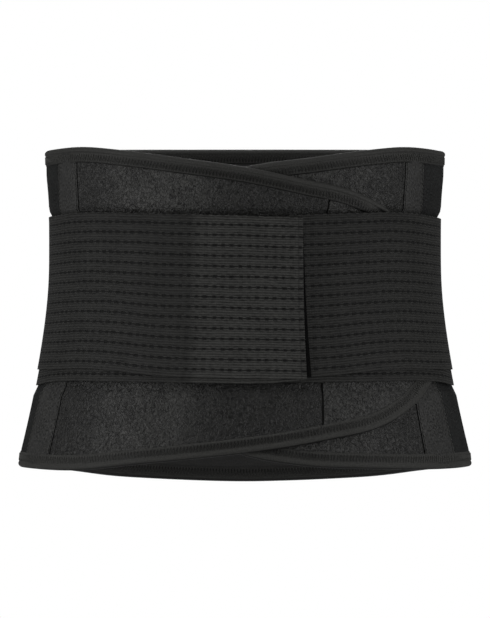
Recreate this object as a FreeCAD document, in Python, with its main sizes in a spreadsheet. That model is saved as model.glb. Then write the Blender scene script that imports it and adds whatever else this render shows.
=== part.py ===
import FreeCAD, Part
import Sketcher
import math
import os

# Lumbar support belt, closed, as it sits on the wearer. Millimetres.
# The origin is the middle of the waist opening: +Z up, the front faces -Y, +X is the viewer's right.

doc = FreeCAD.newDocument("lumbar_belt")

SHEET_VALUES = {
    # elliptical section of the outer face of the side panels, from the lower edge up
    "level_foot": -130.0, "width_foot": 161.3,
    "level_hip": -85.0, "width_hip": 149.8,
    "level_low": -40.0, "width_low": 139.6,
    "level_middle": 10.0, "width_middle": 133.0,
    "level_waist": 55.0, "width_waist": 131.9,
    "level_crest": 116.0, "width_crest": 138.6,
    "depth_share": 0.72,
    # inner and outer faces of the cloth layers, measured out from the section above
    "side_in": -4.6, "lining_out": -3.8, "under_stay_out": -3.1, "under_out": -2.5,
    "over_in": -2.1, "over_lining_out": -1.3, "stay_out": -0.6, "side_out": 0.0,
    "back_stay_in": -2.0, "back_cloth_in": -1.2, "tape_in": -0.5,
    "strap_in": 0.4, "strap_mid": 1.6, "strap_out": 2.8, "patch_out": 4.0,
    "top_strap_lift": 2.9,
    # edges
    "edge_top_side": 104.2, "edge_top_hump": 107.3, "edge_top_centre": 92.5,
    "edge_bottom_side": -109.8, "edge_bottom_centre": -97.6,
    "edge_back_top": 111.0, "edge_back_bottom": -125.0,
    "tip_reach": 129.5, "hidden_tip_reach": 60.0,
    "binding_width": 10.5, "stay_clearance": 6.0,
    # straps
    "strap_top_side": 60.7, "strap_top_centre": 58.6,
    "strap_bottom_side": -44.1, "strap_bottom_centre": -49.2,
    "inner_drop": 11.0, "tab_reach": 38.5, "hidden_tab_reach": 8.0,
    "hook_length": 22.0, "hook_setback": 2.0, "hook_margin": 4.0,
    "rear_spread": 12.0, "patch_width": 48.0, "patch_margin": 6.0,
    "hinge_gap": 1.2,
}

sheet = doc.addObject("Spreadsheet::Sheet", "sheet")
for row, (alias, value) in enumerate(SHEET_VALUES.items(), start=1):
    sheet.set(f"A{row}", alias)
    sheet.set(f"B{row}", str(value))
    sheet.setAlias(f"B{row}", alias)
doc.recompute()


def dim(alias):
    return float(getattr(sheet, alias))


LEVELS = ("foot", "hip", "low", "middle", "waist", "crest")
FAR = 300.0          # further out than any cloth
OUTSIDE = 175.0      # outlines run on past the sides of the belt to here
BELOW = 10.0         # upright slices start this far under the cloth
SLICE_SIDES = 4      # straight sides that close the outer end of a slice
nodes = {}


def tube(name, offset, lift=""):
    """Solid of the torso section grown by a layer offset; a lift pushes its front and right out more."""
    sections = []
    for level in LEVELS:
        ring = doc.addObject("Part::Ellipse", f"{name}_{level}")
        width = f"sheet.width_{level}"
        wider, deeper = (f" + sheet.{lift} / 2", f" + sheet.{lift}") if lift else ("", "")
        ring.setExpression("MajorRadius", f"{width} + sheet.{offset}{wider}")
        ring.setExpression("MinorRadius", f"{width} * sheet.depth_share + sheet.{offset}{deeper}")
        ring.setExpression("Placement.Base.z", f"sheet.level_{level}")
        if lift:
            ring.setExpression("Placement.Base.x", f"sheet.{lift} / 2")
        sections.append(ring)
    loft = doc.addObject("Part::Loft", name)
    loft.Sections = sections
    loft.Solid = True
    return loft


tubes = {}


def layer(inner, outer, lift=""):
    """Shell of cloth between two layer offsets."""
    for offset in (inner, outer):
        if (offset, lift) not in tubes:
            tubes[offset, lift] = tube(f"tube_{offset}{'_lifted' if lift else ''}", offset, lift)
    shell = doc.addObject("Part::Cut", f"shell_{inner}_{outer}")
    shell.Base = tubes[outer, lift]
    shell.Tool = tubes[inner, lift]
    return shell


def edge_curve(points):
    """Smooth curve through front-view points."""
    curve = Part.BSplineCurve()
    curve.interpolate([FreeCAD.Vector(x, z, 0) for x, z in points])
    return curve


def outline(name, top, bottom, side):
    """Closed front-view outline: a curve through the top points, one back through the bottom points.

    side is -1 for cloth seen from the front (it starts in front of the hinge line), +1 for the back.
    """
    sketch = doc.addObject("Sketcher::SketchObject", name)
    sketch.Placement = FreeCAD.Placement(FreeCAD.Vector(0, 0, 0),
                                         FreeCAD.Rotation(FreeCAD.Vector(1, 0, 0), 90))
    sketch.setExpression("Placement.Base.y", f"{side} * sheet.hinge_gap / 2")
    for points in (top, bottom):
        sketch.addGeometry(edge_curve(points), False)
    for start, end in ((top[-1], bottom[0]), (bottom[-1], top[0])):
        if math.dist(start, end) > 0.01:
            sketch.addGeometry(Part.LineSegment(FreeCAD.Vector(*start, 0), FreeCAD.Vector(*end, 0)), False)
    return sketch


def inset(top, bottom, distance):
    """Top and bottom points moved into the cloth, square to their edges; a shared tip stays shared."""
    turn = math.copysign(distance, top[-1][0] - top[0][0])
    moved = []
    for points in (top, bottom):
        curve = edge_curve(points)
        line = []
        for x, z in points:
            along = curve.tangent(curve.parameter(FreeCAD.Vector(x, z, 0)))[0]
            line.append((x + turn * along.y, z - turn * along.x))
        moved.append(line)
    if math.dist(top[-1], bottom[0]) < 0.01:
        tip = (top[-1][0] - turn, top[-1][1])
        moved[0][-1] = tip
        moved[1][0] = tip
    return moved


def prism(name, profile, side):
    """The outline carried straight through the front (-1) or the back (+1) of the belt."""
    body = doc.addObject("Part::Extrusion", name)
    body.Base = profile
    body.DirMode = "Custom"
    body.Dir = FreeCAD.Vector(0, side, 0)
    body.LengthFwd = FAR
    body.Solid = True
    return body


def section_angle(turn):
    """Plan angle of the point at a given turn round the waist section (0 right, 90 back, 180 left)."""
    share = dim("depth_share")
    return math.atan2(share * math.sin(math.radians(turn)), math.cos(math.radians(turn)))


def wedge(name, start, end):
    """Upright slice of space between two turns round the section."""
    sketch = doc.addObject("Sketcher::SketchObject", name + "_plan")
    sketch.setExpression("Placement.Base.z", f"sheet.level_foot - {BELOW}")
    turns = [start + (end - start) * i / SLICE_SIDES for i in range(SLICE_SIDES + 1)]
    rim = [(FAR * math.cos(section_angle(t)), FAR * math.sin(section_angle(t))) for t in turns]
    corners = [(0.0, 0.0)] + rim
    for (x0, y0), (x1, y1) in zip(corners, corners[1:] + corners[:1]):
        sketch.addGeometry(Part.LineSegment(FreeCAD.Vector(x0, y0, 0), FreeCAD.Vector(x1, y1, 0)), False)
    body = doc.addObject("Part::Extrusion", name)
    body.Base = sketch
    body.DirMode = "Custom"
    body.Dir = FreeCAD.Vector(0, 0, 1)
    body.LengthFwd = FAR
    body.Solid = True
    return body


def common(name, shapes, cut=()):
    """A piece of cloth: the part of a layer inside every given prism, less what is cut from it."""
    piece = doc.addObject("Part::MultiCommon", name if not cut else name + "_blank")
    piece.Shapes = list(shapes)
    if cut:
        tool = cut[0]
        if len(cut) > 1:
            tool = doc.addObject("Part::MultiFuse", name + "_cutter")
            tool.Shapes = list(cut)
        blank = piece
        piece = doc.addObject("Part::Cut", name)
        piece.Base = blank
        piece.Tool = tool
    piece.Label = name
    nodes[name] = piece
    return piece


def mirrored(points):
    return [(-x, z) for x, z in points]


# ---------------------------------------------------------------- edges of the front panels

TOP_SIDE, TOP_HUMP, TOP_CENTRE = dim("edge_top_side"), dim("edge_top_hump"), dim("edge_top_centre")
LOW_SIDE, LOW_CENTRE = dim("edge_bottom_side"), dim("edge_bottom_centre")
TIP = dim("tip_reach")
HIDDEN_TIP = dim("hidden_tip_reach")

SIDE_TO_CENTRE_TOP = [(-OUTSIDE, TOP_SIDE - 4.0), (-137.0, TOP_SIDE), (-112.0, TOP_HUMP),
                      (-87.0, TOP_HUMP - 2.4), (-45.0, TOP_HUMP - 8.3), (0.0, TOP_CENTRE)]

left_top = SIDE_TO_CENTRE_TOP + [(42.0, 84.0), (73.0, 76.9), (99.0, 63.0), (119.0, 38.0), (TIP, -15.0)]
left_bottom = [(TIP, -15.0), (126.0, -54.0), (96.0, -79.6), (52.0, -90.6), (0.0, LOW_CENTRE),
               (-70.0, -105.3), (-115.0, LOW_SIDE - 0.4), (-OUTSIDE, LOW_SIDE)]

right_top = mirrored(SIDE_TO_CENTRE_TOP) + [(-34.0, 78.0), (-54.0, 40.0), (-HIDDEN_TIP, 0.0)]
right_bottom = [(-HIDDEN_TIP, 0.0), (-50.0, -52.0), (-26.0, -87.0), (0.0, LOW_CENTRE - 1.6),
                (41.0, -106.3), (80.0, LOW_SIDE + 1.4), (125.0, LOW_SIDE), (OUTSIDE, LOW_SIDE)]

# ---------------------------------------------------------------- edges of the back

BACK_TOP, BACK_LOW = dim("edge_back_top"), dim("edge_back_bottom")
half_back_top = [(-OUTSIDE, TOP_SIDE - 4.0), (-137.0, TOP_SIDE), (-118.0, TOP_HUMP), (-90.0, BACK_TOP - 1.0)]
half_back_low = [(-OUTSIDE, LOW_SIDE + 1.0), (-156.0, LOW_SIDE),
                 (-125.0, LOW_SIDE - 6.0), (-82.0, BACK_LOW + 3.0)]
back_top = half_back_top + [(0.0, BACK_TOP)] + mirrored(half_back_top)[::-1]
back_bottom = mirrored(half_back_low) + [(0.0, BACK_LOW)] + half_back_low[::-1]

# ---------------------------------------------------------------- edges of the straps

STRAP_TOP, STRAP_TOP_MID = dim("strap_top_side"), dim("strap_top_centre")
STRAP_LOW, STRAP_LOW_MID = dim("strap_bottom_side"), dim("strap_bottom_centre")
DROP = dim("inner_drop")
HOOK_MARGIN = dim("hook_margin")


def strap_edges(reach):
    """Top and bottom edges of the outer strap in front, from the left side to where it ends."""
    top = [(-OUTSIDE, STRAP_TOP - 1.2), (-134.0, STRAP_TOP), (-105.0, STRAP_TOP + 1.7),
           (-60.0, STRAP_TOP + 0.4), (reach, STRAP_TOP_MID)]
    bottom = [(reach, STRAP_LOW_MID), (-50.0, STRAP_LOW_MID + 1.8), (-100.0, STRAP_LOW + 1.4),
              (-143.0, STRAP_LOW), (-OUTSIDE, STRAP_LOW - 1.0)]
    return top, bottom


def inner_edges(reach):
    """Edges of the inner strap in front: lower than the outer one, closing up on it to the middle."""
    top = [(-OUTSIDE, STRAP_TOP - DROP - 1.0), (-134.0, STRAP_TOP - DROP), (-80.0, STRAP_TOP - 7.0),
           (reach, STRAP_TOP_MID - 4.0)]
    bottom = [(reach, STRAP_LOW_MID - 2.8), (-60.0, STRAP_LOW_MID - 2.0), (-121.0, STRAP_LOW - 7.0),
              (-144.0, STRAP_LOW - DROP), (-OUTSIDE, STRAP_LOW - DROP - 4.0)]
    return top, bottom


def hook_edges(start, end):
    """Hook pad: a rectangle behind the end of the outer strap."""
    top = [(start, STRAP_TOP_MID - HOOK_MARGIN), (end, STRAP_TOP_MID - HOOK_MARGIN)]
    bottom = [(end, STRAP_LOW_MID + HOOK_MARGIN), (start, STRAP_LOW_MID + HOOK_MARGIN)]
    return top, bottom


def rear_edges(shift_side, shift_back):
    """Rear half of a left strap, from the side to the middle of the back."""
    top = [(-OUTSIDE, STRAP_TOP + shift_side), (-134.0, STRAP_TOP + shift_side),
           (-80.0, STRAP_TOP + (shift_side + shift_back) / 2), (-6.0, STRAP_TOP + shift_back)]
    bottom = [(-6.0, STRAP_LOW + shift_back), (-80.0, STRAP_LOW + (shift_side + shift_back) / 2),
              (-143.0, STRAP_LOW + shift_side), (-OUTSIDE, STRAP_LOW + shift_side)]
    return top, bottom


# ---------------------------------------------------------------- front panels

# turns round the section: how far each panel's cloth reaches, and where its stay casing starts and ends
REACH = {"left": (170.0, 352.0), "right": (190.0, 370.0)}
CASING = {"left": (198.0, 211.0), "right": (324.5, 341.0)}
TIP_PAD = 316.0      # the left lining gives way to the hook pad here
STAY_TURN = 5.0


def front_panel(hand, top, bottom, levels, loop, elastic, hook=None):
    """One front panel: lining, loop cloth, elastic side strip, casing with its stay, binding."""
    lining_in, lining_out, stay_out, cloth_out = levels
    casing = CASING[hand]
    edge = outline(f"{hand}_edge", top, bottom, -1)
    field_edge = outline(f"{hand}_field_edge", *inset(top, bottom, dim("binding_width")), -1)
    stay_inset = dim("binding_width") + dim("stay_clearance")
    stay_edge = outline(f"{hand}_stay_edge", *inset(top, bottom, stay_inset), -1)
    field = prism(f"{hand}_field", field_edge, -1)
    cloth = layer(lining_out, cloth_out)
    middle = (casing[0] + casing[1]) / 2
    lining = layer(lining_in, lining_out)
    if hook:
        common(f"{hand}_tip_hook", [lining, field, wedge(f"{hand}_tip_slice", *hook)])
        common(f"{hand}_lining", [lining, field, wedge(f"{hand}_lining_slice", REACH[hand][0], hook[0])])
    else:
        common(f"{hand}_lining", [lining, field])
    stay_slice = wedge(f"{hand}_stay_slice", middle - STAY_TURN / 2, middle + STAY_TURN / 2)
    stay_zone = prism(f"{hand}_stay_zone", stay_edge, -1)
    stay = common(f"{hand}_stay", [layer(lining_out, stay_out), stay_zone, stay_slice])
    common(f"{hand}_casing", [cloth, field, wedge(f"{hand}_casing_slice", *casing)], [stay])
    common(f"{hand}_loop_cloth", [cloth, field, wedge(f"{hand}_loop_slice", *loop)])
    common(f"{hand}_elastic", [cloth, field, wedge(f"{hand}_elastic_slice", *elastic)])
    common(f"{hand}_binding", [layer(lining_in, cloth_out), prism(f"{hand}_whole", edge, -1)], [field])


front_panel("left", left_top, left_bottom,
            ("over_in", "over_lining_out", "stay_out", "side_out"),
            loop=(CASING["left"][1], REACH["left"][1]), elastic=(REACH["left"][0], CASING["left"][0]),
            hook=(TIP_PAD, REACH["left"][1]))

front_panel("right", right_top, right_bottom,
            ("side_in", "lining_out", "under_stay_out", "under_out"),
            loop=(REACH["right"][0], CASING["right"][0]), elastic=(CASING["right"][1], REACH["right"][1]))

# ---------------------------------------------------------------- back and sides

back_edge = outline("back_edge", back_top, back_bottom, 1)
back_field_edge = outline("back_field_edge", *inset(back_top, back_bottom, dim("binding_width")), 1)
back_field = prism("back_field", back_field_edge, 1)
back_stay_inset = dim("binding_width") + dim("stay_clearance")
back_stay_edge = outline("back_stay_edge", *inset(back_top, back_bottom, back_stay_inset), 1)
back_stay_zone = prism("back_stay_zone", back_stay_edge, 1)
back_whole = prism("back_whole", back_edge, 1)

SIDE_SEAMS = (30.0, 150.0)
PAST_SIDE = 10.0     # the side cloths run this much past the sides before the back's edges cut them
BACK_STAYS = (58.0, 76.0, 104.0, 122.0)
TAPE_TURN = 9.0

common("back_lining", [layer("side_in", "lining_out"), back_field])
stay_layer = layer("back_stay_in", "back_cloth_in")
tape_layer = layer("tape_in", "side_out")
back_stays = []
back_tapes = []
for number, turn in enumerate(BACK_STAYS, start=1):
    stay_slice = wedge(f"back_stay_slice_{number}", turn - STAY_TURN / 2, turn + STAY_TURN / 2)
    back_stays.append(common(f"back_stay_{number}", [stay_layer, back_stay_zone, stay_slice]))
    tape_slice = wedge(f"back_tape_slice_{number}", turn - TAPE_TURN / 2, turn + TAPE_TURN / 2)
    back_tapes.append(common(f"back_tape_{number}", [tape_layer, back_field, tape_slice]))
common("back_foam", [layer("lining_out", "back_cloth_in"), back_field], back_stays)
back_cloth = layer("back_cloth_in", "side_out")
common("back_cloth", [back_cloth, back_field, wedge("back_cloth_slice", *SIDE_SEAMS)], back_tapes)
right_slice = wedge("right_side_slice", -PAST_SIDE, SIDE_SEAMS[0])
left_slice = wedge("left_side_slice", SIDE_SEAMS[1], 180.0 + PAST_SIDE)
common("right_side_cloth", [back_cloth, back_field, right_slice])
common("left_side_cloth", [back_cloth, back_field, left_slice])

binding_layer = layer("side_in", "side_out")
for name, base in (("back_binding_top", 0.0), ("back_binding_bottom", -FAR)):
    half = doc.addObject("Part::Box", name + "_half")
    half.Length = 2 * FAR
    half.Width = 2 * FAR
    half.Height = FAR
    half.Placement.Base = FreeCAD.Vector(-FAR, -FAR, base)
    common(name, [binding_layer, back_whole, half], [back_field])

# ---------------------------------------------------------------- straps

SPREAD = dim("rear_spread")
TAB = dim("tab_reach")
HIDDEN_TAB = dim("hidden_tab_reach")
HOOK = dim("hook_length")
SETBACK = dim("hook_setback")
SEAM = 1.0           # between the hook pad and the end of the inner strap


def band(name, edges, inner, outer, side, lift="", flip=False):
    """A strap piece between two layer offsets."""
    top, bottom = edges
    if flip:
        top, bottom = mirrored(top), mirrored(bottom)
    zone = prism(name + "_zone", outline(name + "_edge", top, bottom, side), side)
    common(name, [layer(inner, outer, lift), zone])


for hand, reach, lift in (("left", TAB, "top_strap_lift"), ("right", HIDDEN_TAB, "")):
    flip = hand == "right"
    pad_start = reach - HOOK
    band(f"{hand}_strap_outer", strap_edges(reach), "strap_mid", "strap_out", -1, lift, flip)
    band(f"{hand}_strap_inner", inner_edges(pad_start - SEAM), "strap_in", "strap_mid", -1, lift, flip)
    band(f"{hand}_tab_hook", hook_edges(pad_start, reach - SETBACK), "strap_in", "strap_mid", -1, lift, flip)
    band(f"{hand}_rear_outer", rear_edges(0.0, SPREAD), "strap_mid", "strap_out", 1, flip=flip)
    band(f"{hand}_rear_inner", rear_edges(-DROP, -DROP - SPREAD), "strap_in", "strap_mid", 1, flip=flip)

half_patch = dim("patch_width") / 2
patch_top = STRAP_TOP + SPREAD + dim("patch_margin")
patch_low = STRAP_LOW - DROP - SPREAD - dim("patch_margin")
patch_edges = ([(-half_patch, patch_top), (half_patch, patch_top)],
               [(half_patch, patch_low), (-half_patch, patch_low)])
band("back_patch", patch_edges, "strap_out", "patch_out", 1)

# ---------------------------------------------------------------- build, test, write

doc.recompute()
for item in doc.Objects:
    if "Invalid" in item.State or "Error" in item.State:
        raise SystemExit(f"{item.Label} did not build: {item.State}")
os.makedirs("parts", exist_ok=True)
for name, piece in nodes.items():
    shape = piece.Shape
    if shape.isNull() or not shape.isValid() or not shape.Solids:
        raise SystemExit(f"{name} has no valid solid")
    print(name, len(shape.Solids), round(shape.Volume), shape.BoundBox)
    shape.exportStep(f"parts/{name}.step")
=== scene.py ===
"""Lumbar support belt, closed as on the wearer: cloth, bindings, stitching, straps, light and camera."""
import math

import bpy
import numpy as np
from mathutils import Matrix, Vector


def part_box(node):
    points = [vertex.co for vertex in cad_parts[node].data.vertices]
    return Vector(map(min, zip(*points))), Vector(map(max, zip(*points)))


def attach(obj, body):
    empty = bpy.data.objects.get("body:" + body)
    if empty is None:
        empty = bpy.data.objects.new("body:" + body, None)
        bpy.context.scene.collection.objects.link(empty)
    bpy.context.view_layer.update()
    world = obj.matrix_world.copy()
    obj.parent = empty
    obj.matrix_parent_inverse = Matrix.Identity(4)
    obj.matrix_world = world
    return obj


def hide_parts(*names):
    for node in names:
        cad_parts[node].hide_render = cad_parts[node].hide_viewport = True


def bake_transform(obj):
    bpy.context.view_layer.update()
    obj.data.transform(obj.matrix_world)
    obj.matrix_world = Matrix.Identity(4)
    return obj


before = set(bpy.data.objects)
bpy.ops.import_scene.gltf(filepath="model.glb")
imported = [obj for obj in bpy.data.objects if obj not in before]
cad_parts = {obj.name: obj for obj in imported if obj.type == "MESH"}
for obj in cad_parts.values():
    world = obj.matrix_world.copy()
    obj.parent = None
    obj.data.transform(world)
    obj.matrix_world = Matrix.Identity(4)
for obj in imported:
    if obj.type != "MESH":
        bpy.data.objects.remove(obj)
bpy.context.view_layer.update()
MM = 0.001
TURN = {"left": 1, "right": -1}  # how turns run from a side's hinge line to the front
HINGE = {"left": math.pi, "right": 0.0}  # turn of a side's hinge line

# ------------------------ the section the cloth lies on

DEPTH_SHARE = 0.72             # depth of the waist section over its width
LAYERS = {                     # how far each face lies outside the side panels' outer face, in mm
    "back_lining": (-4.6, -3.8), "foam": (-3.8, -1.2), "back_cloth": (-1.2, 0.0),
    "under_lining": (-4.6, -3.8), "under_cloth": (-3.8, -2.5),
    "over_lining": (-2.1, -1.3), "over_cloth": (-1.3, 0.0),
    "stay": (-2.0, -1.25), "inner_strap": (0.4, 1.6), "outer_strap": (1.6, 2.8), "patch": (2.8, 4.0),
}
TOP_STRAP_LIFT = 2.9           # the left strap passes over the right one in front


def side_profile():
    """Half width of the belt against height, fitted to the CAD's left side."""
    rows = {}
    for node in ("left_side_cloth", "back_binding_top", "back_binding_bottom"):
        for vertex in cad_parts[node].data.vertices:
            x, y, z = vertex.co
            if x < 0 and y < 1.0 * MM:
                row = round(z / (8 * MM))
                rows[row] = max(rows.get(row, (0, 0)), (-x, z))
    widths, heights = zip(*rows.values())
    return np.polynomial.Polynomial.fit(heights, widths, 5)


PROFILE = side_profile()
STRAP_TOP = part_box("left_strap_outer")[1][2]
STRAP_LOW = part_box("left_strap_inner")[0][2]
BULGE_ABOVE = 2.5 * MM         # soft cloth swells out above and below the tight straps
BULGE_BELOW = 1.95 * MM
DRAWN_IN_ABOVE = 0.6           # share of that swelling which the bindings take back
DRAWN_IN_BELOW = 0.75
BELLY = 0.7 * MM               # the cloth also stands out a little under the straps' upper part,
BELLY_HEIGHT = 42 * MM         # most at this height
BELLY_SPREAD = 24 * MM
RIPPLE = 0.35 * MM


def ease(value, start, end):
    """0 before start, 1 after end, smooth between."""
    t = np.clip((value - start) / (end - start), 0.0, 1.0)
    return t * t * (3 - 2 * t)


def swell(z):
    """How far the cloth stands out above and below the straps; the bindings draw it in again."""
    past_top = z - STRAP_TOP
    past_low = STRAP_LOW - z
    above = ease(past_top, -3 * MM, 4 * MM) * (1 - DRAWN_IN_ABOVE * ease(past_top, 24 * MM, 42 * MM))
    below = ease(past_low, 0.0, 6 * MM) * (1 - DRAWN_IN_BELOW * ease(past_low, 44 * MM, 57 * MM))
    belly = BELLY * np.exp(-((z - BELLY_HEIGHT) / BELLY_SPREAD) ** 2)
    return BULGE_ABOVE * above + BULGE_BELOW * below + belly


def ripple(turn, z):
    """Slow unevenness of the cloth, the same for every layer so that they stay apart."""
    wave = (np.sin(turn * 9.0 + z * 38.0) + 0.7 * np.sin(turn * 17.0 - z * 61.0 + 1.3)
            + 0.5 * np.sin(turn * 31.0 + z * 23.0 + 4.0))
    return RIPPLE * wave * np.sin(turn) ** 2


def place(turn, z, out, lift=0.0):
    """Point on the belt, by the turn round its section and the height.

    In degrees, turn is 0 at the right, 90 at the back, 180 at the left and 270 in front. out moves the point
    off the section, and lift widens the section everywhere but at its left side.
    """
    width = PROFILE(z) + swell(z)
    depth = PROFILE(z) * DEPTH_SHARE + swell(z)
    out = out + ripple(turn, z)
    x = (width + out + lift / 2) * np.cos(turn) + lift / 2
    y = (depth + out + lift) * np.sin(turn)
    return np.stack([x, y, z + 0 * turn], axis=-1)


def turn_at(x, z, side, lift=0.0):
    """Turn of the point seen at x from the front; side -1 is the front half, +1 the back half."""
    angle = np.arccos(np.clip((x - lift / 2) / (PROFILE(z) + swell(z) + lift / 2), -1.0, 1.0))
    return angle if side > 0 else 2 * math.pi - angle


# ------------------------ edges, as seen from the front

SPAN_STEPS = 14                # samples between two points of a curve


def smooth(points):
    """Curve through points (Catmull-Rom), closely sampled."""
    p = np.array(points, float)
    p = np.vstack([2 * p[0] - p[1], p, 2 * p[-1] - p[-2]])
    t = np.linspace(0, 1, SPAN_STEPS, endpoint=False)[:, None]
    line = []
    for a, b, c, d in zip(p, p[1:], p[2:], p[3:]):
        line.append(0.5 * (2 * b + (c - a) * t + (2 * a - 5 * b + 4 * c - d) * t ** 2
                           + (3 * b - a - 3 * c + d) * t ** 3))
    return np.vstack(line + [p[-2][None]])


def box_mm(node):
    """Lowest and highest corner of a CAD node's box, in mm."""
    low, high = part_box(node)
    return [v / MM for v in low], [v / MM for v in high]


LEFT_LOW, LEFT_HIGH = box_mm("left_binding")
BACK_LOW = box_mm("back_binding_bottom")[0]
BACK_HIGH = box_mm("back_binding_top")[1]
TIP = LEFT_HIGH[0]             # how far across the left panel's tip reaches, in mm,
HIDDEN_TIP = box_mm("right_binding")[0][0]  # and the right panel's, under it
HUMP = LEFT_HIGH[2]            # highest and lowest point of the panels' edges
FOOT = LEFT_LOW[2]
SIDE_TOP = HUMP - 1.0
CENTRE_TOP = HUMP - 14.8
CENTRE_LOW = FOOT + 12.9

half_top = [(-137.0, SIDE_TOP), (-112.0, HUMP), (-87.0, HUMP - 2.4), (-45.0, HUMP - 8.3),
            (0.0, CENTRE_TOP)]
left_outline = (half_top + [(42.0, 84.0), (73.0, 76.9), (99.0, 63.0), (119.0, 38.0), (TIP, -15.0)],
                [(-156.0, FOOT + 0.6), (-115.0, FOOT + 0.4), (-70.0, FOOT + 5.2), (0.0, CENTRE_LOW),
                 (52.0, -90.6), (96.0, -79.6), (126.0, -54.0), (TIP, -15.0)])
right_outline = ([(-x, z) for x, z in half_top] + [(-34.0, 78.0), (-54.0, 40.0), (HIDDEN_TIP, 0.0)],
                 [(156.0, FOOT + 0.6), (125.0, FOOT + 0.7), (80.0, FOOT + 2.1), (41.0, FOOT + 4.2),
                  (0.0, CENTRE_LOW - 1.6), (-26.0, -87.0), (-50.0, -52.0), (HIDDEN_TIP, 0.0)])
half_back_top = [(-137.0, SIDE_TOP), (-118.0, HUMP), (-90.0, BACK_HIGH[2] - 1.0)]
BACK_FOOT = BACK_LOW[2] - 0.8
half_back_low = [(-156.0, FOOT + 0.6), (-125.0, FOOT - 4.9), (-82.0, BACK_FOOT + 3.6)]
back_top_line = half_back_top + [(0.0, BACK_HIGH[2])] + [(-x, z) for x, z in half_back_top[::-1]]
back_low_line = half_back_low + [(0.0, BACK_FOOT)] + [(-x, z) for x, z in half_back_low[::-1]]


def to_surface(line, side, lift=0.0):
    """Front-view points in mm to (turn, height) on the belt."""
    line = np.array(line) * MM
    turns = turn_at(line[:, 0], line[:, 1], side, lift)
    return np.stack([turns, line[:, 1]], axis=1)


def path_lengths(points):
    """Distance along a path of points from its start to each of them."""
    return np.concatenate([[0], np.cumsum(np.linalg.norm(np.diff(points, axis=0), axis=1))])


def edge_lengths(line):
    """The same along an edge given as (turn, height)."""
    return path_lengths(place(line[:, 0], line[:, 1], 0.0))


def even(line, pitch):
    """The line resampled at an even pitch in metres."""
    lengths = edge_lengths(line)
    marks = np.linspace(0, lengths[-1], int(lengths[-1] / pitch) + 2)
    return np.stack([np.interp(marks, lengths, column) for column in line.T], axis=1)


def edge_height(line):
    """Height of an edge against turn."""
    order = np.argsort(line[:, 0])
    turns, heights = line[order, 0], line[order, 1]
    return lambda turn: np.interp(turn, turns, heights)


# ------------------------ meshes

def mesh_object(name, points, faces, uvs=None, smooth_faces=True):
    """Mesh in the scene; uvs has one pair for each point."""
    mesh = bpy.data.meshes.new(name)
    mesh.from_pydata([tuple(map(float, p)) for p in points], [], faces)
    if uvs is not None:
        layer = mesh.uv_layers.new(name="cloth")
        for loop in mesh.loops:
            layer.data[loop.index].uv = uvs[loop.vertex_index]
    mesh.update()
    if smooth_faces:
        mesh.shade_smooth()
    piece = bpy.data.objects.new(name, mesh)
    bpy.context.scene.collection.objects.link(piece)
    return piece


def slab(name, outer, inner, uv):
    """Closed sheet of cloth between an outer and an inner grid of points (columns x rows)."""
    columns, rows = outer.shape[:2]
    count = columns * rows
    points = np.concatenate([outer.reshape(-1, 3), inner.reshape(-1, 3)])
    index = np.arange(count).reshape(columns, rows)
    faces = []
    for i in range(columns - 1):
        for j in range(rows - 1):
            a, b, c, d = index[i, j], index[i + 1, j], index[i + 1, j + 1], index[i, j + 1]
            faces.append((a, b, c, d))
            faces.append((a + count, d + count, c + count, b + count))
    rim = [index[i, 0] for i in range(columns)]
    rim += [index[-1, j] for j in range(1, rows)]
    rim += [index[i, -1] for i in range(columns - 2, -1, -1)]
    rim += [index[0, j] for j in range(rows - 2, 0, -1)]
    for a, b in zip(rim, rim[1:] + rim[:1]):
        faces.append((a, a + count, b + count, b))
    faces = [tuple(int(v) for v in face) for face in faces]
    uvs = np.concatenate([uv.reshape(-1, 2)] * 2)
    piece = mesh_object(name, points, faces, uvs)
    piece.data.set_sharp_from_angle(angle=math.radians(50))
    return piece


COLUMN = math.radians(1.4)     # turn between two columns of a sheet's points
ROWS = 60
TIP_SHARE = 0.15               # the columns lie closer over this last share of a sheet with a tip
STRAP_HEIGHT = 104.8 * MM


def column_turns(start, end, tip):
    """Turns of a sheet's columns of points."""
    s = np.linspace(0, 1, max(3, int(abs(end - start) / COLUMN) + 1))
    if tip:
        full = 1 - TIP_SHARE
        s = np.where(s < full, s, full + TIP_SHARE * np.sin((s - full) / TIP_SHARE * math.pi / 2))
    return start + (end - start) * s


def cloth_grid(start, end, low, high, slants, tip):
    """Turn and height of each point of a sheet (columns x rows) between two turns and two edges."""
    turns = column_turns(math.radians(start), math.radians(end), tip)
    slant = np.radians(slants[0] + (slants[1] - slants[0]) * np.linspace(0, 1, len(turns)))
    share = np.linspace(0, 1, ROWS)
    turn = np.repeat(turns[:, None], ROWS, axis=1)
    for _ in range(4):
        bottom, top = low(turn[:, 0]), high(turn[:, -1])
        z = bottom[:, None] + (top - bottom)[:, None] * share[None]
        turn = turns[:, None] + slant[:, None] * z
    return turn, z


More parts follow.
